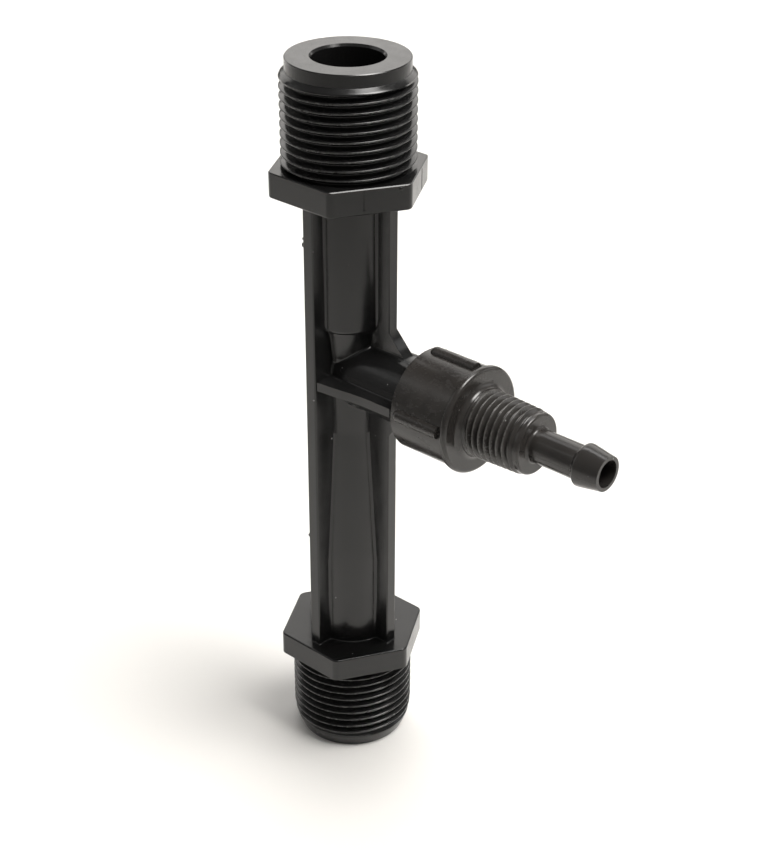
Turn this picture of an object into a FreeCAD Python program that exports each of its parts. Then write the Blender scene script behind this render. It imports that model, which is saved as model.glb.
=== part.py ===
import FreeCAD, Part
import math
import os
import Sketcher

# Venturi fertilizer injector, in millimetres.
# Frame: +Z runs up the injector from the outlet end to the inlet end, the
# origin is the centre of the outlet end face, and +X runs out along the
# suction arm.  Water enters at the top, speeds up in the throat beside the
# arm, and leaves through the long diffuser at the bottom.

doc = FreeCAD.newDocument("venturi_injector")
sheet = doc.addObject("Spreadsheet::Sheet", "dims")

# alias, value, what it is
TABLE = [
    ("overall_length", 152.4, "end face to end face"),
    ("thread_crest", 13.05, "3/4 in pipe thread, crest radius"),
    ("collar_rad", 11.93, "plain lead-in collar at each end"),
    ("collar_len", 2.5, "length of that collar"),
    ("leadin_len", 0.4, "slope from the collar to the thread"),
    ("end_break", 0.15, "small break on the end edges"),
    ("outlet_lip", 11.5, "radius just behind the outlet end face"),
    ("outlet_nose", 6.0, "length of the outlet end's rounded lead-in"),
    ("hex_start", 20.8, "end face to the near side of each hex"),
    ("hex_thick", 5.1, "hex thickness"),
    ("hex_apothem", 13.9, "half the width across the hex flats"),
    ("hex_corner", 1.6, "corner radius of the hex"),
    ("hex_edge", 0.35, "softened body-side edge of each hex"),
    ("inlet_tube", 8.5, "outside radius of the inlet tube"),
    ("inlet_foot", 99.3, "height where the inlet tube ends"),
    ("throat_tube", 6.6, "outside radius beside the arm"),
    ("throat_top", 93.4, "height where the throat tube starts"),
    ("step_height", 76.2, "height of the ring step under the arm"),
    ("step_depth", 0.4, "depth of the ring step"),
    ("outlet_tube", 8.3, "outside radius of the outlet tube"),
    ("outlet_full", 46.0, "height where the outlet tube is full size"),
    ("rib_reach", 11.6, "axis to the outer face of a long rib"),
    ("rib_edge", 0.3, "rounded long edges of the ribs"),
    ("rib_root", 0.6, "hollow round where a rib meets the tube"),
    ("tube_root", 0.3, "hollow round where the tube meets a hex"),
    ("boss_root", 0.6, "hollow round where the arm leaves the tube"),
    ("rib_thick", 2.6, "thickness of a long rib"),
    ("arm_height", 88.6, "height of the suction arm axis"),
    ("boss_rad", 7.2, "outside radius of the arm boss"),
    ("boss_end", 29.0, "axis to the end face of the boss"),
    ("gusset_reach", 15.8, "axis to the outer end of the gusset slope"),
    ("gusset_slope", 4.4, "height of the gusset slope"),
    ("fin_half", 9.73, "arm axis to the edge of a side fin"),
    ("fin_thick", 1.9, "thickness of a side fin"),
    ("fin_knee", 4.2, "where the fin edge turns towards the rib"),
    ("fin_end", 19.5, "outer end of the side fins"),
    ("end_bore", 6.92, "bore radius at both ends"),
    ("outlet_straight", 22.0, "length of the straight outlet bore"),
    ("inlet_straight", 112.0, "height where the straight inlet bore ends"),
    ("throat_rad", 1.8, "radius of the nozzle throat"),
    ("throat_high", 92.8, "top of the nozzle throat"),
    ("chamber_top", 90.8, "top of the suction chamber"),
    ("chamber_low", 86.4, "bottom of the suction chamber"),
    ("chamber_rad", 3.3, "radius of the suction chamber"),
    ("diffuser_rad", 2.2, "radius where the diffuser starts"),
    ("diffuser_top", 84.6, "height where the diffuser starts to open"),
    ("port_rad", 1.6, "radius of the suction port"),
    ("valve_floor", 11.5, "axis to the floor of the valve bore"),
    ("valve_rad", 4.6, "radius of the valve bore"),
    ("cap_back", 20.0, "axis to the back edge of the cap"),
    ("cap_rad", 10.3, "radius of the grip drum"),
    ("cap_bore", 7.28, "radius of the cap's threaded bore"),
    ("cap_floor", 30.4, "axis to the floor inside the cap"),
    ("rim_back", 32.95, "back of the front rim"),
    ("rim_front", 34.35, "front of the front rim"),
    ("rim_rad", 10.85, "radius of the front rim"),
    ("rim_round", 0.75, "rounding of the front rim"),
    ("rim_heel", 0.4, "rounding of the back of the rim"),
    ("neck_round", 1.35, "hollow round between rim and side thread"),
    ("side_crest", 6.8, "1/4 in pipe thread, crest radius"),
    ("side_end", 47.2, "axis to the end of the side thread"),
    ("nose_rad", 6.15, "radius of the collar after the side thread"),
    ("nose_end", 48.2, "axis to the end face of that collar"),
    ("nose_round", 0.5, "rounding of that collar"),
    ("shank_rad", 3.38, "radius of the hose barb's shank"),
    ("shank_root", 0.6, "hollow round at the root of the shank"),
    ("shank_end", 58.2, "axis to the start of the barb's back slope"),
    ("barb_peak", 59.4, "axis to the middle of the barb's crest"),
    ("barb_land", 0.4, "width of the flat on the barb's crest"),
    ("barb_rad", 4.25, "largest radius of the barb"),
    ("barb_end", 64.4, "axis to the tip"),
    ("tip_rad", 3.49, "outside radius of the tip"),
    ("barb_bore", 2.72, "bore of the barb"),
    ("bore_step", 33.0, "axis to the end of the barb bore"),
    ("seat_bore", 2.0, "bore behind the ball seat"),
    ("seat_tube", 4.3, "outside radius of the seat tube"),
    ("seat_mouth", 25.6, "axis to the mouth of the seat tube"),
    ("seat_open", 3.3, "radius of the seat cone at its mouth"),
    ("grip_count", 4, "number of grip ribs"),
    ("grip_rad", 1.3, "section radius of a grip rib"),
    ("grip_axis", 10.15, "arm axis to the axis of a grip rib"),
    ("grip_start", 21.1, "axis to the rounded start of a grip rib"),
    ("grip_end", 32.3, "axis to the end of a grip rib"),
    ("cap_clock", -4, "turn of the cap on the arm, degrees"),
    ("seal_inner", 4.6, "inside radius of the washer"),
    ("seal_outer", 7.0, "outside radius of the washer"),
    ("seal_thick", 1.4, "thickness of the washer"),
    ("ball_rad", 3.175, "radius of the check ball"),
    ("ball_at", 24.34, "axis to the centre of the seated ball"),
    ("wire_rad", 0.3, "radius of the spring wire"),
    ("coil_rad", 2.2, "mean radius of the spring"),
    ("coil_pitch", 1.395, "pitch of the spring"),
    ("coil_start", 11.82, "axis to the first coil's centre"),
    ("coil_length", 9.765, "first coil's centre to the last one's"),
]
for row, (alias, value, note) in enumerate(TABLE, start=1):
    sheet.set("A%d" % row, alias)
    sheet.set("B%d" % row, str(value))
    sheet.set("C%d" % row, note)
    sheet.setAlias("B%d" % row, alias)
doc.recompute()


class Dim:
    """A number together with the sheet expression that gives it."""

    def __init__(self, value, text):
        self.value = float(value)
        self.text = text

    def _other(self, o):
        return o if isinstance(o, Dim) else Dim(o, repr(float(o)))

    def __add__(self, o):
        o = self._other(o)
        return Dim(self.value + o.value, "(%s + %s)" % (self.text, o.text))

    def __sub__(self, o):
        o = self._other(o)
        return Dim(self.value - o.value, "(%s - %s)" % (self.text, o.text))

    def __mul__(self, o):
        o = self._other(o)
        return Dim(self.value * o.value, "(%s * %s)" % (self.text, o.text))

    def __truediv__(self, o):
        o = self._other(o)
        return Dim(self.value / o.value, "(%s / %s)" % (self.text, o.text))

    def __neg__(self):
        return Dim(-self.value, "(0 - %s)" % self.text)


def D(alias):
    return Dim(sheet.get(alias), "dims." + alias)


def origin_item(body, role):
    for item in body.Origin.OriginFeatures:
        if item.Role == role:
            return item
    raise RuntimeError(role)


def new_sketch(body, name, plane, along=None, normal=None):
    """A sketch on one of the body's own planes, moved along the sketch's
    vertical direction or along its normal where that is asked for."""
    sk = body.newObject("Sketcher::SketchObject", name)
    sk.AttachmentSupport = [(origin_item(body, plane), "")]
    sk.MapMode = "FlatFace"
    if along is not None:
        sk.AttachmentOffset = FreeCAD.Placement(
            FreeCAD.Vector(0, along.value, 0), FreeCAD.Rotation())
        sk.setExpression("AttachmentOffset.Base.y", along.text)
    if normal is not None:
        sk.AttachmentOffset = FreeCAD.Placement(
            FreeCAD.Vector(0, 0, normal.value), FreeCAD.Rotation())
        sk.setExpression("AttachmentOffset.Base.z", normal.text)
    return sk


def pin_point(sk, geo, pos, x, y, tag):
    """Holds one sketch point at (x, y) from the sketch origin."""
    for kind, axis, q, letter in (("DistanceX", -2, x, "x"),
                                  ("DistanceY", -1, y, "y")):
        if not isinstance(q, Dim) and q == 0:
            sk.addConstraint(Sketcher.Constraint("PointOnObject", geo, pos, axis))
        else:
            d = q if isinstance(q, Dim) else Dim(q, repr(float(q)))
            i = sk.addConstraint(
                Sketcher.Constraint(kind, -1, 1, geo, pos, d.value))
            sk.renameConstraint(i, tag + letter)
            if isinstance(q, Dim):
                sk.setExpression("Constraints." + tag + letter, d.text)


def val(q):
    return q.value if isinstance(q, Dim) else float(q)


def outline(sk, points):
    """A closed outline of straight lines through the given points."""
    n = len(points)
    vec = [FreeCAD.Vector(val(x), val(y), 0) for x, y in points]
    first = None
    for i in range(n):
        g = sk.addGeometry(Part.LineSegment(vec[i], vec[(i + 1) % n]), False)
        if first is None:
            first = g
    for i in range(n):
        sk.addConstraint(Sketcher.Constraint(
            "Coincident", first + i, 2, first + (i + 1) % n, 1))
    for i, (x, y) in enumerate(points):
        pin_point(sk, first + i, 1, x, y, "p%d" % i)
    return sk


def ring(sk, radius, tag):
    """A circle about the sketch origin."""
    g = sk.addGeometry(Part.Circle(FreeCAD.Vector(0, 0, 0),
                                   FreeCAD.Vector(0, 0, 1), radius.value), False)
    sk.addConstraint(Sketcher.Constraint("Coincident", g, 3, -1, 1))
    i = sk.addConstraint(Sketcher.Constraint("Radius", g, radius.value))
    sk.renameConstraint(i, tag)
    sk.setExpression("Constraints." + tag, radius.text)
    return g


def revolve(body, name, sk, axis, kind="PartDesign::Revolution"):
    f = body.newObject(kind, name)
    f.Profile = (sk, [""])
    f.ReferenceAxis = (sk, [axis])
    f.Angle = 360.0
    sk.Visibility = False
    return f


def pad(body, name, sk, length, symmetric=False):
    f = body.newObject("PartDesign::Pad", name)
    f.Profile = (sk, [""])
    f.Length = length.value
    f.setExpression("Length", length.text)
    f.SideType = "Symmetric" if symmetric else "One side"
    return f


def edges_where(shape, test):
    return ["Edge%d" % (i + 1) for i, e in enumerate(shape.Edges) if test(e)]


def round_edges(body, name, base, names, radius):
    f = body.newObject("PartDesign::Fillet", name)
    f.Base = (base, names)
    f.Radius = radius.value
    f.setExpression("Radius", radius.text)
    return f


def circle_edge(e, axis, where, radius, tol=0.02):
    """True for a circular edge about the given axis ("x" or "z" through the
    frame origin) at this station and radius."""
    c = e.Curve
    if not isinstance(c, Part.Circle):
        return False
    at = c.Center.x if axis == "x" else c.Center.z
    off = (abs(c.Center.y) + abs(c.Center.z) if axis == "x"
           else abs(c.Center.x) + abs(c.Center.y))
    return abs(at - where) < tol and abs(c.Radius - radius) < tol and off < tol


# --------------------------------------------------------------------------
# injector_body: the one-piece moulding
# --------------------------------------------------------------------------
body = doc.addObject("PartDesign::Body", "injector_body")
body.Label = "injector_body"
body.Placement = FreeCAD.Placement()

L = D("overall_length")
col, crest = D("collar_rad"), D("thread_crest")
brk, tube_in, tube_out = D("end_break"), D("inlet_tube"), D("outlet_tube")
lip, nose = D("outlet_lip"), D("outlet_nose")
hexin = D("hex_start") + 1.5
core = new_sketch(body, "core_profile", "XZ_Plane")
outline(core, [
    (0, 0),
    (lip - brk, 0),
    (lip, brk),
    (crest - (crest - lip) * 0.68, nose * 0.22),
    (crest - (crest - lip) * 0.355, nose * 0.433),
    (crest - (crest - lip) * 0.13, nose * 0.7),
    (crest, nose),
    (crest, hexin),
    (tube_out, hexin),
    (tube_out, D("outlet_full")),
    (D("throat_tube") - D("step_depth"), D("step_height")),
    (D("throat_tube"), D("step_height")),
    (D("throat_tube"), D("throat_top")),
    (tube_in - 0.95, D("inlet_foot") - 0.2),
    (tube_in - 0.42, D("inlet_foot") + 0.05),
    (tube_in - 0.12, D("inlet_foot") + 0.42),
    (tube_in, D("inlet_foot") + 0.95),
    (tube_in, L - hexin),
    (crest, L - hexin),
    (crest, L - D("collar_len") - D("leadin_len")),
    (col, L - D("collar_len")),
    (col, L - brk),
    (col - brk, L),
    (0, L),
])
core_solid = revolve(body, "core", core, "V_Axis")
doc.recompute()

# the two hexes, each with one corner over the suction arm
hexes = []
for name, base_z in (("outlet_hex", D("hex_start")),
                     ("inlet_hex", L - D("hex_start") - D("hex_thick"))):
    sk = new_sketch(body, name + "_outline", "XY_Plane", normal=base_z)
    corner = D("hex_apothem") * (2.0 / math.sqrt(3.0))
    half = corner * 0.5
    flat = D("hex_apothem")
    outline(sk, [(corner, 0), (half, flat), (-half, flat),
                 (-corner, 0), (-half, -flat), (half, -flat)])
    hexes.append(pad(body, name, sk, D("hex_thick")))
    doc.recompute()

# long ribs: one pair in the plane of the arm, with the gussets that brace
# the arm above and below, and one pair across it
r, g = D("rib_reach"), D("gusset_reach")
arm, slope = D("arm_height"), D("gusset_slope")
boss_top, boss_low = arm + D("boss_rad") - 0.15, arm - D("boss_rad") + 0.15
lo, hi = D("hex_start") + 2.0, L - D("hex_start") - 2.0
sk = new_sketch(body, "arm_rib_outline", "XZ_Plane")
outline(sk, [
    (-r, lo), (r, lo),
    (r, boss_low - slope), (g, boss_low), (g, boss_top), (r, boss_top + slope),
    (r, hi), (-r, hi),
])
arm_ribs = pad(body, "arm_ribs", sk, D("rib_thick"), symmetric=True)
doc.recompute()

sk = new_sketch(body, "cross_rib_outline", "YZ_Plane")
outline(sk, [(-r, lo), (r, lo), (r, hi), (-r, hi)])
cross_ribs = pad(body, "cross_ribs", sk, D("rib_thick"), symmetric=True)
doc.recompute()

# side fins at the height of the arm, from the cross ribs to the cap
fw, knee, fe = D("fin_half"), D("fin_knee"), D("fin_end")
span = fe - knee
bend_a, bend_b, bend_c = knee + span * 0.183, knee + span * 0.366, knee + span * 0.556
w = D("rib_thick") * 0.5
sk = new_sketch(body, "side_fin_outline", "XY_Plane", normal=arm)
outline(sk, [
    (0, -(r - 0.4)), (w, -(r - 0.4)), (knee, -(fw + 1.15)), (bend_a, -(fw + 0.78)),
    (bend_b, -(fw + 0.37)), (bend_c, -(fw + 0.05)), (fe, -fw),
    (fe, fw), (bend_c, fw + 0.05), (bend_b, fw + 0.37),
    (bend_a, fw + 0.78), (knee, fw + 1.15), (w, r - 0.4), (0, r - 0.4),
])
fins = pad(body, "side_fins", sk, D("fin_thick"), symmetric=True)
doc.recompute()

# the arm boss, whose outer end carries the thread for the cap
bend = D("boss_end")
sk = new_sketch(body, "boss_profile", "XZ_Plane", along=arm)
br = D("boss_rad")
outline(sk, [(0, 0), (bend, 0), (bend, br - 0.4), (bend - 0.4, br), (0, br)])
boss = revolve(body, "arm_boss", sk, "H_Axis")
doc.recompute()
solid_before = boss.Shape.Volume

# soften the hex corners
corner_r = D("hex_apothem").value * 2.0 / math.sqrt(3.0)


def hex_corner_edge(e):
    if not isinstance(e.Curve, Part.Line) or len(e.Vertexes) != 2:
        return False
    a, b = e.Vertexes[0].Point, e.Vertexes[1].Point
    return (abs(math.hypot(a.x, a.y) - corner_r) < 0.01
            and abs(a.x - b.x) < 1e-4 and abs(a.y - b.y) < 1e-4
            and abs(a.z - b.z) > 1.0)


names = edges_where(boss.Shape, hex_corner_edge)
if len(names) != 12:
    raise RuntimeError("hex corners: %d" % len(names))
corners = round_edges(body, "hex_corners", boss, names, D("hex_corner"))
doc.recompute()


def middle(e):
    return e.valueAt((e.FirstParameter + e.LastParameter) / 2.0)


def span_z(e):
    zs = [p.Point.z for p in e.Vertexes]
    return min(zs), max(zs)


inner_faces = (hexin.value - 1.5 + D("hex_thick").value,
               L.value - D("hex_start").value - D("hex_thick").value)
half_rib = D("rib_thick").value / 2.0
reach = D("rib_reach").value


def at_inner_face(e):
    lo_z, hi_z = span_z(e)
    return any(abs(lo_z - f) < 1e-3 and abs(hi_z - f) < 1e-3
               for f in inner_faces)


def is_hex_rim(e):
    p = middle(e)
    return at_inner_face(e) and math.hypot(p.x, p.y) > 13.5


def is_rib_edge(e):
    p = middle(e)
    return (isinstance(e.Curve, Part.Line) and not at_inner_face(e)
            and e.Length > 5.0
            and inner_faces[0] < p.z < inner_faces[1]
            and (abs(abs(p.x) - reach) < 1e-3 or abs(abs(p.y) - reach) < 1e-3))


def is_rib_root(e):
    p = middle(e)
    lo_z, hi_z = span_z(e)
    away = (hi_z < D("step_height").value + 0.1
            or lo_z > D("inlet_foot").value + 0.2)
    return (away and hi_z - lo_z > 1.0
            and inner_faces[0] - 0.1 < p.z < inner_faces[1] + 0.1
            and 6.0 < math.hypot(p.x, p.y) < 8.8
            and (abs(abs(p.x) - half_rib) < 1e-3
                 or abs(abs(p.y) - half_rib) < 1e-3))


def is_tube_root(e):
    p = middle(e)
    return (at_inner_face(e) and isinstance(e.Curve, Part.Circle)
            and 8.0 < math.hypot(p.x, p.y) < 8.8)


def is_boss_root(e):
    p = middle(e)
    if p.x > 19.4 or abs(math.hypot(p.y, p.z - arm.value) - br.value) > 0.02:
        return False
    curve = e.Curve
    if isinstance(curve, Part.BSplineCurve):
        return True
    if isinstance(curve, Part.Circle):
        return abs(abs(p.x) - half_rib) < 1e-3
    fin_line = abs(abs(p.z - arm.value) - D("fin_thick").value / 2.0) < 1e-3
    return (isinstance(curve, Part.Line) and e.Length > 1.0
            and (abs(abs(p.y) - half_rib) < 1e-3 or fin_line))


def rounded(name, base, test, size, least):
    found = edges_where(base.Shape, test)
    if len(found) < least:
        raise RuntimeError("%s: %d edges" % (name, len(found)))
    f = round_edges(body, name, base, found, size)
    doc.recompute()
    if f.Shape.isNull() or not f.Shape.isValid():
        raise RuntimeError(name + " did not build")
    return f


rims = rounded("hex_rims", corners, is_hex_rim, D("hex_edge"), 24)
rib_edges = rounded("rib_edges", rims, is_rib_edge, D("rib_edge"), 10)
rib_roots = rounded("rib_roots", rib_edges, is_rib_root, D("rib_root"), 24)
boss_roots = rounded("boss_roots", rib_roots, is_boss_root,
                     D("boss_root"), 18)
tube_roots = rounded("tube_roots", boss_roots, is_tube_root,
                     D("tube_root"), 8)
solid_before = tube_roots.Shape.Volume

# the venturi bore: straight inlet, nozzle, suction chamber, diffuser
bore = D("end_bore")
sk = new_sketch(body, "venturi_profile", "XZ_Plane")
outline(sk, [
    (0, 0),
    (bore, 0),
    (bore, D("outlet_straight")),
    (D("diffuser_rad"), D("diffuser_top")),
    (D("diffuser_rad"), D("chamber_low")),
    (D("chamber_rad"), D("chamber_low")),
    (D("chamber_rad"), D("chamber_top")),
    (D("throat_rad"), D("chamber_top")),
    (D("throat_rad"), D("throat_high")),
    (bore, D("inlet_straight")),
    (bore, L),
    (0, L),
])
venturi = revolve(body, "venturi_bore", sk, "V_Axis", "PartDesign::Groove")
doc.recompute()
if not venturi.Shape.Volume < solid_before - 5000.0:
    raise RuntimeError("the venturi bore removed nothing")

# the suction port and the valve bore in the arm
bored_before = venturi.Shape.Volume
sk = new_sketch(body, "valve_profile", "XZ_Plane", along=arm)
vf, vr = D("valve_floor"), D("valve_rad")
outline(sk, [
    (1.0, 0), (1.0, D("port_rad")), (vf, D("port_rad")), (vf, vr),
    (bend, vr), (bend, 0),
])
valve = revolve(body, "valve_bore", sk, "H_Axis", "PartDesign::Groove")
doc.recompute()
if not valve.Shape.Volume < bored_before - 900.0:
    raise RuntimeError("the valve bore removed nothing")
body.Tip = valve

# --------------------------------------------------------------------------
# suction_cap: grip drum, rim, side thread and hose barb in one moulding.
# Its own frame has +X along the arm, measured from the injector's axis.
# --------------------------------------------------------------------------
cap = doc.addObject("PartDesign::Body", "suction_cap")
cap.Label = "suction_cap"
cap.Placement = FreeCAD.Placement(
    FreeCAD.Vector(0, 0, D("arm_height").value),
    FreeCAD.Rotation(FreeCAD.Vector(1, 0, 0), D("cap_clock").value))
cap.setExpression("Placement.Base.z", "dims.arm_height")
cap.setExpression("Placement.Rotation.Angle", "dims.cap_clock * 1 deg")

cb, cr = D("cap_back"), D("cap_rad")
sk = new_sketch(cap, "cap_profile", "XZ_Plane")
seat_cone = D("seat_open") - D("seat_bore")
outline(sk, [
    (cb, D("cap_bore") + 0.3),
    (cb, cr - 0.3),
    (cb + 0.3, cr),
    (D("rim_back"), cr),
    (D("rim_back"), D("rim_rad")),
    (D("rim_front"), D("rim_rad")),
    (D("rim_front"), D("side_crest")),
    (D("side_end"), D("side_crest")),
    (D("side_end"), D("nose_rad")),
    (D("nose_end"), D("nose_rad")),
    (D("nose_end"), D("shank_rad")),
    (D("shank_end"), D("shank_rad")),
    (D("barb_peak") - D("barb_land") / 2, D("barb_rad")),
    (D("barb_peak") + D("barb_land") / 2, D("barb_rad")),
    (D("barb_end"), D("tip_rad")),
    (D("barb_end"), D("barb_bore")),
    (D("bore_step"), D("barb_bore")),
    (D("bore_step"), D("seat_bore")),
    (D("seat_mouth") + seat_cone, D("seat_bore")),
    (D("seat_mouth"), D("seat_open")),
    (D("seat_mouth"), D("seat_tube")),
    (D("cap_floor"), D("seat_tube")),
    (D("cap_floor"), D("cap_bore")),
    (cb + 0.3, D("cap_bore")),
])
turned = revolve(cap, "cap_turned", sk, "H_Axis")
doc.recompute()

# one grip rib: a bead with a ball start, half sunk in the drum
ga, gr = D("grip_axis"), D("grip_rad")
gs, ge = D("grip_start"), D("grip_end")
bead = new_sketch(cap, "grip_profile", "XZ_Plane", along=ga)
pts = [(gs.value, 0.0), (gs.value + gr.value, gr.value),
       (ge.value, gr.value), (ge.value, 0.0)]
V = [FreeCAD.Vector(x, y, 0) for x, y in pts]
mid = FreeCAD.Vector(gs.value + gr.value * (1.0 - math.sqrt(0.5)),
                     gr.value * math.sqrt(0.5), 0)
arc_obj = Part.Arc(V[0], mid, V[1])
a = bead.addGeometry(arc_obj, False)
b1 = bead.addGeometry(Part.LineSegment(V[1], V[2]), False)
b2 = bead.addGeometry(Part.LineSegment(V[2], V[3]), False)
b3 = bead.addGeometry(Part.LineSegment(V[3], V[0]), False)
# the arc runs counter-clockwise, so its start is the end on the drum
s0 = bead.getPoint(a, 1)
on_axis, on_top = (1, 2) if abs(s0.y) < 1e-6 else (2, 1)
bead.addConstraint(Sketcher.Constraint("Coincident", a, on_top, b1, 1))
bead.addConstraint(Sketcher.Constraint("Coincident", b1, 2, b2, 1))
bead.addConstraint(Sketcher.Constraint("Coincident", b2, 2, b3, 1))
bead.addConstraint(Sketcher.Constraint("Coincident", b3, 2, a, on_axis))
pin_point(bead, a, 3, gs + gr, 0, "centre")
i = bead.addConstraint(Sketcher.Constraint("Radius", a, gr.value))
bead.renameConstraint(i, "section")
bead.setExpression("Constraints.section", gr.text)
bead.addConstraint(Sketcher.Constraint("PointOnObject", a, on_axis, -1))
bead.addConstraint(Sketcher.Constraint("Horizontal", b1))
bead.addConstraint(Sketcher.Constraint("Vertical", b2))
i = bead.addConstraint(Sketcher.Constraint("DistanceX", -1, 1, a, on_top,
                                           gs.value + gr.value))
bead.renameConstraint(i, "shoulder")
bead.setExpression("Constraints.shoulder", (gs + gr).text)
pin_point(bead, b2, 2, ge, 0, "tail")
grip = revolve(cap, "grip_rib", bead, "H_Axis")
doc.recompute()

# repeated round the drum
grips = cap.newObject("PartDesign::PolarPattern", "grip_ribs")
grips.Originals = [grip]
grips.Axis = (sk, ["H_Axis"])
grips.Angle = 360.0
grips.Occurrences = int(D("grip_count").value)
grips.setExpression("Occurrences", "dims.grip_count")
cap.Tip = grips
doc.recompute()


def cap_edges(shape, wanted):
    names = []
    for where, radius in wanted:
        found = edges_where(
            shape, lambda e: circle_edge(e, "x", where.value, radius.value))
        if not found:
            raise RuntimeError("no edge at %g, %g" % (where.value, radius.value))
        names += found
    return names


heel = round_edges(cap, "rim_heel_round", grips, cap_edges(
    grips.Shape, [(D("rim_back"), D("rim_rad"))]), D("rim_heel"))
doc.recompute()
rim = round_edges(cap, "rim_rounds", heel, cap_edges(
    heel.Shape, [(D("rim_front"), D("rim_rad"))]), D("rim_round"))
doc.recompute()
neck = round_edges(cap, "neck_hollow", rim, cap_edges(
    rim.Shape, [(D("rim_front"), D("side_crest"))]), D("neck_round"))
doc.recompute()
nose = round_edges(cap, "nose_round", neck, cap_edges(
    neck.Shape, [(D("nose_end"), D("nose_rad"))]), D("nose_round"))
doc.recompute()
root = round_edges(cap, "shank_hollow", nose, cap_edges(
    nose.Shape, [(D("nose_end"), D("shank_rad"))]), D("shank_root"))
cap.Tip = root
doc.recompute()

# --------------------------------------------------------------------------
# cap_seal: flat washer between the end of the boss and the cap's floor
# --------------------------------------------------------------------------
seal = doc.addObject("PartDesign::Body", "cap_seal")
seal.Label = "cap_seal"
seal.Placement = FreeCAD.Placement(
    FreeCAD.Vector(D("boss_end").value, 0, D("arm_height").value),
    FreeCAD.Rotation())
seal.setExpression("Placement.Base.x", "dims.boss_end")
seal.setExpression("Placement.Base.z", "dims.arm_height")
sk = new_sketch(seal, "washer_outline", "YZ_Plane")
ring(sk, D("seal_outer"), "outer")
ring(sk, D("seal_inner"), "inner")
washer = pad(seal, "washer", sk, D("seal_thick"))
seal.Tip = washer
doc.recompute()

# --------------------------------------------------------------------------
# check_ball: closes against the cone inside the cap
# --------------------------------------------------------------------------
ball = doc.addObject("Part::Sphere", "check_ball")
ball.Label = "check_ball"
ball.Radius = D("ball_rad").value
ball.setExpression("Radius", "dims.ball_rad")
ball.Placement = FreeCAD.Placement(
    FreeCAD.Vector(D("ball_at").value, 0, D("arm_height").value),
    FreeCAD.Rotation())
ball.setExpression("Placement.Base.x", "dims.ball_at")
ball.setExpression("Placement.Base.z", "dims.arm_height")
doc.recompute()

# --------------------------------------------------------------------------
# check_spring: wire coil between the valve bore's floor and the ball
# --------------------------------------------------------------------------
coil = doc.addObject("Part::Helix", "coil_path")
coil.Pitch = D("coil_pitch").value
coil.Height = D("coil_length").value
coil.Radius = D("coil_rad").value
coil.setExpression("Pitch", "dims.coil_pitch")
coil.setExpression("Height", "dims.coil_length")
coil.setExpression("Radius", "dims.coil_rad")
wire = doc.addObject("Part::Circle", "wire_section")
wire.Radius = D("wire_rad").value
wire.setExpression("Radius", "dims.wire_rad")
wire.Placement = FreeCAD.Placement(
    FreeCAD.Vector(D("coil_rad").value, 0, 0),
    FreeCAD.Rotation(FreeCAD.Vector(1, 0, 0), 90))
wire.setExpression("Placement.Base.x", "dims.coil_rad")
spring = doc.addObject("Part::Sweep", "check_spring")
spring.Label = "check_spring"
spring.Sections = [wire]
spring.Spine = (coil, ["Edge1"])
spring.Solid = True
spring.Frenet = True
# the coil is drawn along +Z; a quarter turn lays it along the arm
spring.Placement = FreeCAD.Placement(
    FreeCAD.Vector(D("coil_start").value, 0, D("arm_height").value),
    FreeCAD.Rotation(FreeCAD.Vector(0, 1, 0), 90))
spring.setExpression("Placement.Base.x", "dims.coil_start")
spring.setExpression("Placement.Base.z", "dims.arm_height")
doc.recompute()

# --------------------------------------------------------------------------
# check everything, then write one file for each piece
# --------------------------------------------------------------------------
for obj in doc.Objects:
    if "Invalid" in obj.State or "Error" in obj.State:
        raise RuntimeError("%s did not rebuild: %s" % (obj.Label, obj.State))

pieces = [body, cap, seal, ball, spring]
for obj in pieces:
    shape = obj.Shape
    if shape.isNull() or not shape.isValid():
        raise RuntimeError("%s has no valid shape" % obj.Label)
    if len(shape.Solids) != 1:
        raise RuntimeError("%s has %d solids" % (obj.Label, len(shape.Solids)))
    bb = shape.BoundBox
    print("%s  volume %.1f mm3  x %.2f..%.2f  y %.2f..%.2f  z %.2f..%.2f"
          % (obj.Label, shape.Volume, bb.XMin, bb.XMax, bb.YMin, bb.YMax,
             bb.ZMin, bb.ZMax))

os.makedirs("parts", exist_ok=True)
for obj in pieces:
    obj.Shape.exportStep("parts/" + obj.Label + ".step")
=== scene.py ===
import math

import bmesh
import bpy
import numpy as np
from mathutils import Matrix, Vector


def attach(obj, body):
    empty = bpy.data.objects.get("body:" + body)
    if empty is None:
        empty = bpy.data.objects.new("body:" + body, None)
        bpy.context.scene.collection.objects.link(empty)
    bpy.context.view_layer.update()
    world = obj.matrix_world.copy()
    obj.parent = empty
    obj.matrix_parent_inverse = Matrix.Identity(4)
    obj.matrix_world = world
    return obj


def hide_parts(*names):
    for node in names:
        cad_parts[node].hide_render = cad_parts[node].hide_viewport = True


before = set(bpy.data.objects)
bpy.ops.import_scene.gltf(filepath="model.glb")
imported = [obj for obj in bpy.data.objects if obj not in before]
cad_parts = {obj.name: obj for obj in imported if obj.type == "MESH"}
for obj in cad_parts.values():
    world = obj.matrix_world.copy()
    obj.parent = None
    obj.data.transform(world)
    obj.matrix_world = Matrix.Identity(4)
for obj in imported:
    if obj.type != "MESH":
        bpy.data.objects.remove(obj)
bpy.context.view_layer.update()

scene = bpy.context.scene
MM = 0.001
ARM_Z = 88.6          # height of the suction arm's axis, mm
LENGTH = 152.4        # overall length, mm


# --------------------------------------------------------------------------
# mesh helpers
# --------------------------------------------------------------------------
def mesh_from(name, verts, faces):
    mesh = bpy.data.meshes.new(name)
    mesh.from_pydata([tuple(v) for v in verts], [], faces)
    mesh.validate()
    mesh.update()
    return mesh


def add_object(name, mesh):
    obj = bpy.data.objects.new(name, mesh)
    scene.collection.objects.link(obj)
    return obj


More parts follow.
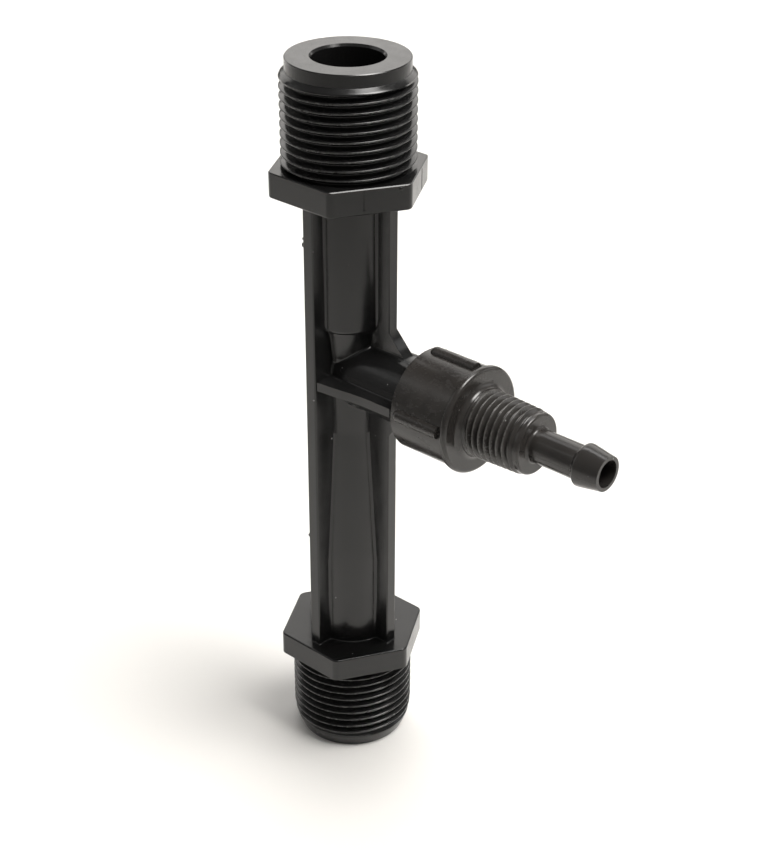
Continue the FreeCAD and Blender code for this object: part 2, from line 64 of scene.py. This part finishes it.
def welded(name, verts, faces, grid=2e-7):
    """A mesh whose equal points are one vertex, without the faces that fold away."""
    verts = np.asarray(verts, float)
    keys = np.round(verts / grid).astype(np.int64)
    _, first, back = np.unique(keys, axis=0, return_index=True, return_inverse=True)
    back = back.reshape(-1)
    kept = []
    for f in faces:
        g = []
        for i in f:
            j = int(back[i])
            if not g or g[-1] != j:
                g.append(j)
        if len(g) > 1 and g[0] == g[-1]:
            g.pop()
        if len(g) >= 3 and len(set(g)) == len(g):
            kept.append(g)
    return mesh_from(name, verts[first], kept)


def cad_copy(node, name):
    """A welded copy of a CAD node's mesh, as a new object."""
    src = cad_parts[node].data
    co = np.zeros(len(src.vertices) * 3, np.float32)
    src.vertices.foreach_get("co", co)
    faces = [list(p.vertices) for p in src.polygons]
    return add_object(name, welded(name, co.reshape(-1, 3), faces))


def evaluated(obj):
    """Replaces the object's mesh by its evaluated one and drops its modifiers."""
    bpy.context.view_layer.update()
    dg = bpy.context.evaluated_depsgraph_get()
    new = bpy.data.meshes.new_from_object(obj.evaluated_get(dg))
    obj.modifiers.clear()
    old, obj.data = obj.data, new
    bpy.data.meshes.remove(old)


def boolean(obj, tool, how):
    mod = obj.modifiers.new("b", "BOOLEAN")
    mod.object = tool
    mod.operation = how
    mod.solver = "MANIFOLD"
    evaluated(obj)
    bpy.data.objects.remove(tool)


def finish_normals(obj, angle=30.0, weighted=True):
    """Smooth shading with sharp edges kept, and the large faces leading. An
    edge between two narrow strips belongs to a small round and stays smooth."""
    me = obj.data
    for a in ("custom_normal", "sharp_face"):
        if a in me.attributes:
            me.attributes.remove(me.attributes[a])
    me.shade_smooth()
    me.set_sharp_from_angle(angle=math.radians(angle))
    bm = bmesh.new()
    bm.from_mesh(me)
    for e in bm.edges:
        if e.smooth or len(e.link_faces) != 2:
            continue
        widths = [2 * f.calc_area() / max(max(x.calc_length() for x in f.edges), 1e-9)
                  for f in e.link_faces]
        if max(widths) < 0.45 * MM and e.calc_face_angle(0.0) < math.radians(52):
            e.smooth = True
    bm.to_mesh(me)
    bm.free()
    if weighted:
        mod = obj.modifiers.new("w", "WEIGHTED_NORMAL")
        mod.keep_sharp = True
        mod.mode = "FACE_AREA"
        mod.weight = 50
        evaluated(obj)


def coords(obj):
    co = np.zeros(len(obj.data.vertices) * 3, np.float32)
    obj.data.vertices.foreach_get("co", co)
    return co.reshape(-1, 3).astype(float)


def set_attribute(obj, name, values):
    a = obj.data.attributes.get(name) or obj.data.attributes.new(name, "FLOAT", "POINT")
    a.data.foreach_set("value", np.asarray(values, np.float32))


def smoothstep(a, b, x):
    t = np.clip((np.asarray(x, float) - a) / (b - a), 0, 1)
    return t * t * (3 - 2 * t)


# --------------------------------------------------------------------------
# screw threads
# --------------------------------------------------------------------------
# one pitch of a moulded 60 degree thread: (place in pitches from a crest's
# middle, depth from 0 at the crest to 1 at the root)
THREAD_FORM = [
    (-0.455, 0.995), (-0.415, 0.955), (-0.375, 0.865), (-0.120, 0.135),
    (-0.085, 0.045), (-0.045, 0.006), (0.045, 0.006), (0.085, 0.045),
    (0.120, 0.135), (0.375, 0.865), (0.415, 0.955), (0.455, 0.995),
]


def form_depth(s):
    """Depth of the thread form at s pitches from a crest."""
    s = (np.asarray(s, float) + 0.5) % 1.0 - 0.5
    xs = [-0.5 - (0.5 - 0.455)] + [p[0] for p in THREAD_FORM] + [0.5 + (0.5 - 0.455)]
    ds = [0.995] + [p[1] for p in THREAD_FORM] + [0.995]
    return np.interp(s, xs, ds)


def thread_cutter(name, place, a, b, pitch, crest_at, crest, root, outer,
                  steps, run=None, extra=()):
    """A closed ring whose inner wall is a right-handed thread, to cut one out
    of a plain bar. Lengths in mm along the local z. crest_at is the z of a
    crest at angle 0; crest(z) and root(z) are its two radii, run(angle, z)
    is how much of the depth is left there."""
    k0 = math.floor((a - crest_at) / pitch) - 2
    k1 = math.ceil((b - crest_at) / pitch) + 2
    s_all = []
    for k in range(k0, k1 + 1):
        s_all += [k + p[0] for p in THREAD_FORM]
    s_all = np.array(s_all)
    extra = np.array(sorted(extra), float)
    theta = np.arange(steps) * (2 * math.pi / steps)

    def radius(th, z):
        c, r = crest(z), root(z)
        d = form_depth((z - crest_at) / pitch - th / (2 * math.pi))
        if run is not None:
            d = d * run(th, z)
        return c - (c - r) * d

    rows = len(s_all)
    inner = np.zeros((steps + 1, rows, 3))
    for j in range(steps + 1):
        th = 2 * math.pi * j / steps
        z = np.clip(crest_at + (s_all + th / (2 * math.pi)) * pitch, a, b)
        r = radius(th, z)
        inner[j, :, 0] = r * math.cos(th)
        inner[j, :, 1] = r * math.sin(th)
        inner[j, :, 2] = z
    verts = [tuple(p) for j in range(steps) for p in inner[j]]
    shift = len(THREAD_FORM)      # a row meets the row one pitch on after a turn

    def at(j, i):
        if j < steps:
            return j * rows + i
        return i + shift          # column 0 again, one pitch further

    faces = []
    for j in range(steps):
        for i in range(rows - 1):
            if j == steps - 1 and i + 1 + shift >= rows:
                continue
            # the ring's material is outside, so the wall looks inwards
            faces.append((at(j, i), at(j, i + 1), at(j + 1, i + 1), at(j + 1, i)))
    # end rings
    n0 = len(verts)
    for z in (a, b):
        for j in range(steps):
            r = float(radius(theta[j], np.array(z)))
            verts.append((r * math.cos(theta[j]), r * math.sin(theta[j]), z))
        for j in range(steps):
            verts.append((outer * math.cos(theta[j]), outer * math.sin(theta[j]), z))
    lo_in, lo_out = n0, n0 + steps
    hi_in, hi_out = n0 + 2 * steps, n0 + 3 * steps
    for j in range(steps):
        k = (j + 1) % steps
        faces.append((lo_in + j, lo_in + k, lo_out + k, lo_out + j))
        faces.append((hi_in + j, hi_out + j, hi_out + k, hi_in + k))
        faces.append((lo_out + j, lo_out + k, hi_out + k, hi_out + j))
    v = np.array(verts) * MM
    m = np.array(place)
    v = v @ m[:3, :3].T + m[:3, 3]
    return add_object(name, welded(name, v, faces, grid=1e-7))


UPRIGHT = Matrix.Identity(4)
# the arm's own frame: local z along +X, local x along +Y, local y along +Z
ALONG_ARM = Matrix(((0, 0, 1, 0), (1, 0, 0, 0), (0, 1, 0, ARM_Z * MM), (0, 0, 0, 1)))
VIEW = math.radians(-46.6)       # the side of the body that the photo looks at


def crest_from_view(z, pitch):
    """The crest height at angle 0 of a thread that has one at z, seen from the front."""
    return z - pitch * (VIEW / (2 * math.pi))


# --------------------------------------------------------------------------
# the one-piece body
# --------------------------------------------------------------------------
body = cad_copy("injector_body", "injector_shell")

PITCH_END = 25.4 / 14


def inlet_crest(z):
    return np.interp(z, [131.0, 148.95, 149.08, 149.22, 149.9], [13.05, 13.05, 13.0, 12.88, 11.93])


def inlet_root(z):
    return np.interp(z, [131.0, 149.2, 149.9], [11.72, 11.72, 11.93])


def inlet_run(th, z):
    return 1.0 - smoothstep(148.25, 148.95, z)


boolean(body, thread_cutter(
    "cut_inlet", UPRIGHT, 131.6, 149.9, PITCH_END,
    crest_from_view(LENGTH - 5.123, PITCH_END), inlet_crest, inlet_root, 14.6,
    120, inlet_run), "DIFFERENCE")


def outlet_crest(z):
    z = np.asarray(z, float)
    x = np.clip((6.2 - z) / 6.2, 0, 1)
    return 13.05 - 1.62 * x ** 1.9


def outlet_root(z):
    return np.minimum(outlet_crest(z), np.interp(z, [0, 3.0, 6.5, 21], [11.6, 11.62, 11.70, 11.72]))


def outlet_run(th, z):
    return smoothstep(2.6, 4.6, z)


boolean(body, thread_cutter(
    "cut_outlet", UPRIGHT, 0.12, 20.8, PITCH_END,
    crest_from_view(6.215, PITCH_END), outlet_crest, outlet_root, 14.6,
    120, outlet_run), "DIFFERENCE")

# the coarse thread on the arm that the cap screws onto, seen when it is off
boolean(body, thread_cutter(
    "cut_boss", ALONG_ARM, 20.9, 28.75, 2.0, 22.0,
    lambda z: np.interp(z, [20, 28.0, 28.75], [7.2, 7.2, 6.75]),
    lambda z: np.interp(z, [20, 28.75], [6.35, 6.35]), 7.35,
    72, lambda th, z: smoothstep(21.0, 22.0, z) * (1 - smoothstep(28.3, 28.74, z))),
    "DIFFERENCE")



def block(name, centre, u, v, w, size):
    """A small box about centre (mm), with its sides along u, v and w, its
    outer w face drawn in so that it stands proud like a moulding mark."""
    u, v, w = (Vector(a).normalized() for a in (u, v, w))
    c = Vector(centre)
    verts, (a, b, h) = [], (x * 0.5 for x in size)
    for k, f in ((-1, 1.0), (1, 0.55)):
        for i, j in ((-1, -1), (1, -1), (1, 1), (-1, 1)):
            verts.append((c + u * (a * f * i) + v * (b * (1 - (1 - f) * a / b * 0.5) * j)
                          + w * (h * k)) * MM)
    faces = [(3, 2, 1, 0), (4, 5, 6, 7), (0, 1, 5, 4), (1, 2, 6, 5), (2, 3, 7, 6), (3, 0, 4, 7)]
    if u.cross(v).dot(w) < 0:
        faces = [f[::-1] for f in faces]
    return add_object(name, mesh_from(name, verts, faces))


def pip(name, centre, radius, long, axis):
    """A small egg of plastic, radius across and long half as long along axis."""
    rows, cols = 8, 14
    side = Vector(axis).orthogonal().normalized()
    other = Vector(axis).normalized().cross(side)
    ax_, c = Vector(axis).normalized(), Vector(centre)
    verts = [(c - ax_ * long) * MM]
    for i in range(1, rows):
        t = math.pi * i / rows
        for j in range(cols):
            a = 2 * math.pi * j / cols
            verts.append((c - ax_ * (long * math.cos(t)) + (side * math.cos(a) + other * math.sin(a))
                          * (radius * math.sin(t))) * MM)
    verts.append((c + ax_ * long) * MM)
    last = len(verts) - 1
    faces = []
    for j in range(cols):
        k = (j + 1) % cols
        faces.append((0, 1 + k, 1 + j))
        for i in range(rows - 2):
            p, q = 1 + i * cols, 1 + (i + 1) * cols
            faces.append((p + j, p + k, q + k, q + j))
        faces.append((last, last - cols + j, last - cols + k))
    return add_object(name, mesh_from(name, verts, faces))


def cone(name, z0, r0, z1, r1, steps=96):
    """A closed frustum about the upright axis, from z0 up to z1 (mm)."""
    verts = []
    for z, r in ((z0, r0), (z1, r1)):
        for j in range(steps):
            a = 2 * math.pi * j / steps
            verts.append(Vector((r * math.cos(a), r * math.sin(a), z)) * MM)
    faces = [tuple(range(steps))[::-1], tuple(range(steps, 2 * steps))]
    for j in range(steps):
        k = (j + 1) % steps
        faces.append((j, k, steps + k, steps + j))
    return add_object(name, mesh_from(name, verts, faces))


# the bores' mouths are eased by a narrow bevel
boolean(body, cone("ease_inlet", LENGTH - 0.52, 6.90, LENGTH + 0.2, 7.40), "DIFFERENCE")
boolean(body, cone("ease_outlet", -0.2, 7.40, 0.52, 6.90), "DIFFERENCE")

# the slight break along the upper edge of the upper hex
def edge_break(name, at, along, out, half, deep):
    """A cutter that takes deep (mm) off the edge through at, square to out."""
    across = out.cross(along)
    ring = [(-0.6, -deep), (0.6, -deep), (0.6, 0.8 - deep), (-0.6, 0.8 - deep)]
    verts = [(at + along * s + across * a + out * b) * MM
             for s in (-half, half) for a, b in ring]
    faces = [(3, 2, 1, 0), (4, 5, 6, 7), (0, 1, 5, 4), (1, 2, 6, 5), (2, 3, 7, 6), (3, 0, 4, 7)]
    return add_object(name, mesh_from(name, verts, faces))


for k in range(6):
    fa = math.radians(30.0 + 60.0 * k)
    n = Vector((math.cos(fa), math.sin(fa), 0))
    tilt = n * math.cos(math.radians(54)) + Vector((0, 0, math.sin(math.radians(54))))
    boolean(body, edge_break("break_%d" % k, n * 13.9 + Vector((0, 0, LENGTH - 20.8)),
                             Vector((-n.y, n.x, 0)), tilt, 9.0, 0.13), "DIFFERENCE")

# witness lines and a gate mark on the upper hex, flash on the back rib
HEX_MID = LENGTH - 20.8 - 5.1 / 2
for label, face_angle, along in (("a", -30.0, -1.25), ("b", 30.0, 1.6)):
    fa = math.radians(face_angle)
    n = Vector((math.cos(fa), math.sin(fa), 0))
    t = Vector((-math.sin(fa), math.cos(fa), 0))
    boolean(body, block("witness_" + label, n * 13.9 + t * along + Vector((0, 0, HEX_MID)),
                        t, (0, 0, 1), n, (0.20, 4.3, 0.12)), "UNION")
fa = math.radians(-30.0)
n = Vector((math.cos(fa), math.sin(fa), 0))
t = Vector((-math.sin(fa), math.cos(fa), 0))
boolean(body, pip("gate_mark", n * 13.88 + t * 5.9 + Vector((0, 0, HEX_MID + 1.75)),
                  0.42, 0.14, n), "UNION")
boolean(body, pip("witness_foot", n * 13.88 + t * -1.25 + Vector((0, 0, HEX_MID - 1.7)),
                  0.30, 0.10, n), "UNION")
for label, z, r in (("a", 112.0, 0.27), ("b", 113.3, 0.16), ("c", 43.8, 0.22)):
    boolean(body, pip("flash_" + label, (-11.55, -1.22, z), r, r * 1.9, (0, 0, 1)), "UNION")
finish_normals(body)

# --------------------------------------------------------------------------
# the cap
# --------------------------------------------------------------------------
cap = cad_copy("suction_cap", "cap_shell")
PITCH_SIDE = 25.4 / 18


def side_crest(z):
    return np.interp(z, [35.0, 37.5, 46.3, 46.75, 47.2], [6.8, 6.8, 6.48, 6.40, 6.16])


def side_root(z):
    return np.interp(z, [35.0, 37.0, 46.2, 47.2], [6.0, 5.78, 5.68, 6.05])


def side_run(th, z):
    return smoothstep(35.2, 36.3, z) * (1 - smoothstep(46.7, 47.18, z))


# the angle of the arm's front, as the camera sees it, in the arm's own frame
boolean(cap, thread_cutter(
    "cut_side", ALONG_ARM, 35.2, 47.2, PITCH_SIDE, 36.245 + PITCH_SIDE * 0.5,
    side_crest, side_root, 7.6, 96, side_run), "DIFFERENCE")

# the mould's parting line, a fine raised line on the collar, the end face,
# the rim and the barb, on both sides
for label, deg in (("front", 83.0), ("back", 263.0)):
    pa = math.radians(deg)
    out = Vector((0, -math.sin(pa), math.cos(pa)))
    side = Vector((1, 0, 0)).cross(out)
    mid = Vector((0, 0, ARM_Z))
    for part, x, r, size in (("collar", 47.62, 6.15, (0.16, 0.62, 0.12)),
                             ("rim", 33.65, 10.85, (0.18, 0.55, 0.10)),
                             ("shank", 53.4, 3.38, (0.13, 7.6, 0.07))):
        boolean(cap, block("parting_%s_%s" % (part, label), mid + out * r + Vector((x, 0, 0)),
                           side, (1, 0, 0), out, size), "UNION")
    for part, x, r, size in (("end", 48.2, 4.95, (0.15, 1.7, 0.09)),
                             ("face", 34.35, 9.1, (0.16, 1.9, 0.10))):
        boolean(cap, block("parting_%s_%s" % (part, label), mid + out * r + Vector((x, 0, 0)),
                           side, out, (1, 0, 0), size), "UNION")
finish_normals(cap)


# --------------------------------------------------------------------------
# materials
# --------------------------------------------------------------------------
class Mat:
    def __init__(self, name):
        self.m = bpy.data.materials.new(name)
        self.m.use_nodes = True
        self.t = self.m.node_tree
        self.t.nodes.clear()
        self.out = self.add("ShaderNodeOutputMaterial")
        self.bsdf = self.add("ShaderNodeBsdfPrincipled")
        self.link(self.bsdf.outputs[0], self.out.inputs[0])
        self.coord = self.add("ShaderNodeTexCoord").outputs["Object"]

    def add(self, kind, **props):
        n = self.t.nodes.new(kind)
        for k, v in props.items():
            setattr(n, k, v)
        return n

    def link(self, a, b):
        self.t.links.new(a, b)

    def noise(self, scale, detail=3.0, rough=0.55, stretch=None, distort=0.0):
        n = self.add("ShaderNodeTexNoise")
        n.inputs["Scale"].default_value = scale
        n.inputs["Detail"].default_value = detail
        n.inputs["Roughness"].default_value = rough
        n.inputs["Distortion"].default_value = distort
        if stretch:
            mp = self.add("ShaderNodeMapping")
            mp.inputs["Scale"].default_value = stretch
            self.link(self.coord, mp.inputs["Vector"])
            self.link(mp.outputs[0], n.inputs["Vector"])
        else:
            self.link(self.coord, n.inputs["Vector"])
        return n.outputs["Fac"]

    def voronoi(self, scale, feature="F1", stretch=None, randomness=1.0):
        n = self.add("ShaderNodeTexVoronoi", feature=feature)
        n.inputs["Scale"].default_value = scale
        n.inputs["Randomness"].default_value = randomness
        src = self.coord
        if stretch:
            mp = self.add("ShaderNodeMapping")
            mp.inputs["Scale"].default_value = stretch
            self.link(self.coord, mp.inputs["Vector"])
            src = mp.outputs[0]
        self.link(src, n.inputs["Vector"])
        return n

    def range(self, value, a, b, c, d, smooth=True):
        n = self.add("ShaderNodeMapRange")
        n.interpolation_type = "SMOOTHSTEP" if smooth else "LINEAR"
        self.link(value, n.inputs["Value"])
        for k, v in zip(("From Min", "From Max", "To Min", "To Max"), (a, b, c, d)):
            n.inputs[k].default_value = v
        return n.outputs[0]

    def math(self, how, a, b=None):
        n = self.add("ShaderNodeMath", operation=how)
        for i, x in enumerate((a, b)):
            if x is None:
                continue
            if isinstance(x, (int, float)):
                n.inputs[i].default_value = x
            else:
                self.link(x, n.inputs[i])
        return n.outputs[0]

    def mix(self, fac, a, b):
        n = self.add("ShaderNodeMix", data_type="RGBA")
        self.link(fac, n.inputs["Factor"])
        for socket, x in ((n.inputs["A"], a), (n.inputs["B"], b)):
            if isinstance(x, tuple):
                socket.default_value = (*x, 1.0)
            else:
                self.link(x, socket)
        return n.outputs["Result"]

    def attribute(self, name):
        n = self.add("ShaderNodeAttribute", attribute_type="GEOMETRY")
        n.attribute_name = name
        return n.outputs["Fac"]

    def bump(self, height, distance, strength=1.0, normal=None):
        n = self.add("ShaderNodeBump")
        n.inputs["Distance"].default_value = distance
        n.inputs["Strength"].default_value = strength
        self.link(height, n.inputs["Height"])
        if normal is not None:
            self.link(normal, n.inputs["Normal"])
        return n.outputs[0]

    def set(self, **sockets):
        for k, v in sockets.items():
            s = self.bsdf.inputs[k.replace("_", " ")]
            if hasattr(v, "links"):
                self.link(v, s)
            else:
                s.default_value = v


def plastic(name, dark, light, crest_wear_highlight_colour, rough, speck, waviness, grain, scuffs=False):
    """Moulded black plastic: tone drifts slowly, faint flow, fine grain,
    lighter thread crests where the crest mask says (partly real wear, partly a painted highlight), and a few dust
    specks."""
    m = Mat(name)
    drift = m.noise(55.0, 3.0, 0.6)
    base = m.mix(m.range(drift, 0.35, 0.7, 0.0, 1.0), dark, light)
    # the crest mask gives the crests a lighter colour and more roughness; the lighter colour is partly real wear and
    # partly a painted highlight
    crest_wear_and_highlight = m.attribute("crest_wear_and_highlight")
    broken = m.range(m.noise(420.0, 3.0, 0.6), 0.40, 0.62, 0.55, 1.0)
    crest_wear_and_highlight = m.math("MULTIPLY", crest_wear_and_highlight, broken)
    base = m.mix(crest_wear_and_highlight, base, crest_wear_highlight_colour)
    # tiny pale dust specks, few and unevenly spread
    vor = m.voronoi(430.0)
    dot = m.range(vor.outputs["Distance"], 0.035, 0.075, 1.0, 0.0)
    few = m.range(m.noise(260.0, 2.0, 0.5), 0.60, 0.66, 0.0, 1.0)
    dust = m.math("MULTIPLY", m.math("MULTIPLY", dot, few), speck)
    base = m.mix(dust, base, (0.42, 0.42, 0.41))
    m.set(Base_Color=base)
    r = m.range(m.noise(160.0, 4.0, 0.65), 0.3, 0.75, rough[0], rough[1])
    fine = m.range(m.noise(2600.0, 2.0, 0.5), 0.35, 0.7, -0.02, 0.02)
    r = m.math("ADD", r, fine)
    r = m.math("ADD", r, m.math("MULTIPLY", crest_wear_and_highlight, 0.10))
    r = m.math("ADD", r, m.math("MULTIPLY", dust, 0.35))
    if scuffs:
        mark = m.range(m.noise(900.0, 5.0, 0.75, stretch=(0.55, 1.0, 1.0)), 0.50, 0.66, 0.0, 1.0)
        # most of them high on the grip drum's near side
        xyz = m.add("ShaderNodeSeparateXYZ")
        m.link(m.coord, xyz.inputs[0])
        high = m.math("SUBTRACT", m.math("MULTIPLY", xyz.outputs[2], 0.8),
                      m.math("MULTIPLY", xyz.outputs[1], 0.6))
        where = m.range(high, ARM_Z * MM * 0.8 + 0.0040, ARM_Z * MM * 0.8 + 0.0098, 0.2, 1.0)
        where = m.math("MULTIPLY", where, m.range(xyz.outputs[0], 0.031, 0.034, 1.0, 0.35))
        mark = m.math("MULTIPLY", mark, where)
        r = m.math("ADD", r, m.math("MULTIPLY", mark, 0.22))
    m.set(Roughness=r)
    m.bsdf.inputs["IOR"].default_value = 1.52
    n1 = m.bump(m.noise(90.0, 2.0, 0.5), waviness)
    n2 = m.bump(m.noise(3200.0, 3.0, 0.6), grain, 1.0, n1)
    n3 = m.bump(dust, 0.00004, 1.0, n2)
    m.set(Normal=n3)
    return m.m


# the third colour, the crests' lighter tone, is partly real wear and partly a painted highlight
body_mat = plastic("body_plastic_look", (0.0066, 0.0066, 0.0067), (0.0105, 0.0105, 0.0105),
                   (0.034, 0.034, 0.033), (0.16, 0.25), 1.0, 0.00005, 0.0000012)
cap_mat = plastic("cap_plastic_look", (0.0225, 0.0206, 0.0192), (0.0360, 0.0325, 0.0298),
                  (0.085, 0.081, 0.077), (0.17, 0.27), 1.0, 0.00004, 0.0000012, True)

rubber = Mat("seal_rubber_look")
rubber.set(Base_Color=rubber.mix(rubber.range(rubber.noise(300.0), 0.3, 0.7, 0, 1),
                                 (0.008, 0.008, 0.008), (0.02, 0.02, 0.019)),
           Roughness=rubber.range(rubber.noise(900.0, 4.0, 0.6), 0.3, 0.7, 0.5, 0.72))
rubber.set(Normal=rubber.bump(rubber.noise(2500.0, 3.0, 0.6), 0.00003))

steel = Mat("ball_steel_look")
steel.bsdf.inputs["Metallic"].default_value = 1.0
steel.set(Base_Color=steel.mix(steel.range(steel.noise(500.0), 0.3, 0.7, 0, 1),
                               (0.60, 0.60, 0.61), (0.68, 0.675, 0.66)),
          Roughness=steel.range(steel.noise(1800.0, 4.0, 0.6), 0.35, 0.75, 0.07, 0.16))
steel.set(Normal=steel.bump(steel.noise(1500.0, 2.0, 0.5), 0.000004))

wire = Mat("spring_steel_look")
wire.bsdf.inputs["Metallic"].default_value = 1.0
wire.set(Base_Color=wire.mix(wire.range(wire.noise(1200.0), 0.3, 0.7, 0, 1),
                             (0.42, 0.42, 0.43), (0.60, 0.60, 0.60)),
         Roughness=wire.range(wire.noise(2600.0, 4.0, 0.6), 0.3, 0.75, 0.22, 0.38))
wire.set(Normal=wire.bump(wire.noise(5000.0, 2.0, 0.5, stretch=(0.3, 1.0, 1.0)), 0.00001))


def give(obj, mat):
    obj.data.materials.clear()
    obj.data.materials.append(mat)


def give_cad(node, mat):
    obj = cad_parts[node]
    if not obj.material_slots:
        obj.data.materials.append(mat)
    for s in obj.material_slots:
        s.material = mat


# crest masks: the crests of the threads and other proud places, lighter in colour as partly real wear and partly a
# painted highlight
co = coords(body) / MM
rad = np.hypot(co[:, 0], co[:, 1])
crest_wear_and_highlight = smoothstep(12.86, 13.04, rad) * (rad < 13.2) * (((co[:, 2] > 131.7) & (co[:, 2] < 148.3)) | (co[:, 2] < 20.7))
set_attribute(body, "crest_wear_and_highlight", crest_wear_and_highlight)
co = coords(cap) / MM
rad = np.hypot(co[:, 1], co[:, 2] - ARM_Z)
crest_r = np.interp(co[:, 0], [35.0, 37.5, 46.3, 46.75, 47.2], [6.8, 6.8, 6.48, 6.40, 6.16])
crest_wear_and_highlight = smoothstep(-0.22, -0.02, rad - crest_r) * (co[:, 0] > 35.6) * (co[:, 0] < 45.6) * (rad < 7)
set_attribute(cap, "crest_wear_and_highlight", crest_wear_and_highlight)

give(body, body_mat)
give(cap, cap_mat)
give_cad("cap_seal", rubber.m)
give_cad("check_ball", steel.m)
give_cad("check_spring", wire.m)

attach(body, "injector")
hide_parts("injector_body")
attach(cap, "cap")
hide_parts("suction_cap")


# --------------------------------------------------------------------------
# floor, light, camera
# --------------------------------------------------------------------------
floor_mesh = mesh_from("floor", [(-3, -3, 0), (3, -3, 0), (3, 3, 0), (-3, 3, 0)], [(0, 1, 2, 3)])
floor = add_object("floor", floor_mesh)
fm = bpy.data.materials.new("floor_look")
fm.use_nodes = True
fb = fm.node_tree.nodes["Principled BSDF"]
fb.inputs["Base Color"].default_value = (0.875, 0.86, 0.835, 1)
fb.inputs["Roughness"].default_value = 0.9
fb.inputs["Specular IOR Level"].default_value = 0.1
give(floor, fm)

world = bpy.data.worlds.new("studio")
scene.world = world
world.use_nodes = True
world.node_tree.nodes["Background"].inputs["Color"].default_value = (1.0, 0.985, 0.955, 1)
world.node_tree.nodes["Background"].inputs["Strength"].default_value = 0.20

BEARING = math.radians(-46.6)    # from the body's axis towards the camera
to_cam = Vector((math.cos(BEARING), math.sin(BEARING), 0))
to_right = Vector((-math.sin(BEARING), math.cos(BEARING), 0))
AIM = Vector((0, 0, 0.08))


def softbox(name, right, near, up, width, height, radiance, aim=AIM, half=None):
    """An area light placed from the object: to the right, towards the camera, up (m).
    half is the angle in degrees beyond which a gridded box gives no light."""
    light = bpy.data.lights.new(name, "AREA")
    light.shape = "RECTANGLE"
    light.size, light.size_y = width, height
    light.energy = radiance * math.pi * width * height
    if half:
        h = math.radians(half)
        light.spread = 2 * h
        light.energy *= (math.tan(h) - h) / math.tan(h)
    obj = bpy.data.objects.new(name, light)
    obj.location = AIM + to_right * right + to_cam * near + Vector((0, 0, up))
    obj.rotation_mode = "QUATERNION"
    obj.rotation_quaternion = (obj.location - aim).to_track_quat("Z", "Y")
    scene.collection.objects.link(obj)
    return obj


key = softbox("key_panel", 0.42, 0.14, 1.0, 0.62, 0.70, 22.0, AIM + to_cam * -0.05, half=25)
key.data.color = (1.0, 0.982, 0.955)
back = softbox("back_panel", 0.0, -1.25, 0.62, 2.4, 0.75, 1.45)
back.data.color = (1.0, 0.972, 0.935)
softbox("back_floor", 0.05, -0.80, 1.15, 0.7, 0.5, 15.0,
        to_cam * -0.62 + to_right * 0.05, half=30)
softbox("top_panel", 0.0, -0.72, 0.98, 1.3, 0.42, 0.6)
softbox("left_panel", -1.05, -0.25, 0.55, 0.6, 0.8, 0.5)
softbox("right_panel", 1.25, -0.25, 0.30, 0.7, 0.5, 1.0)

# camera: the photo's pinhole fit
CAM_AWAY, CAM_UP = 0.325369, 0.252576
PITCH_DOWN, YAW, ROLL = (math.radians(a) for a in (31.972, 1.492, 0.38))
FOCAL, PX, PY = 1788.56, 390.98, 529.533
WIDE, HIGH = 770, 854
# the fit's own frame has the camera on -y; X and Y of the row frame in it
th = math.radians(46.6)
ax = Vector((math.sin(th), -math.cos(th), 0))
ay = Vector((math.cos(th), math.sin(th), 0))
az = Vector((0, 0, 1))
fwd = Vector((math.sin(YAW) * math.cos(PITCH_DOWN), math.cos(YAW) * math.cos(PITCH_DOWN), -math.sin(PITCH_DOWN)))
right = fwd.cross(az).normalized()
up = right.cross(fwd)
r2 = right * math.cos(ROLL) + up * math.sin(ROLL)
u2 = -right * math.sin(ROLL) + up * math.cos(ROLL)
at = Vector((0, -CAM_AWAY, CAM_UP))


def in_row(v):
    return Vector((v.dot(ax), v.dot(ay), v.dot(az)))


cr, cu, cf, cl = in_row(r2), in_row(u2), in_row(fwd), in_row(at)
cam_data = bpy.data.cameras.new("camera")
cam = bpy.data.objects.new("camera", cam_data)
scene.collection.objects.link(cam)
cam.matrix_world = Matrix((
    (cr.x, cu.x, -cf.x, cl.x),
    (cr.y, cu.y, -cf.y, cl.y),
    (cr.z, cu.z, -cf.z, cl.z),
    (0, 0, 0, 1)))
cam_data.sensor_fit = "AUTO"
cam_data.sensor_width = 36.0
cam_data.lens = FOCAL * 36.0 / HIGH
cam_data.shift_x = (WIDE / 2 - PX) / HIGH
cam_data.shift_y = (PY - HIGH / 2) / HIGH
cam_data.clip_start = 0.01
cam_data.clip_end = 20.0
cam_data.dof.use_dof = False
scene.camera = cam

scene.view_settings.view_transform = "Standard"
scene.view_settings.look = "None"
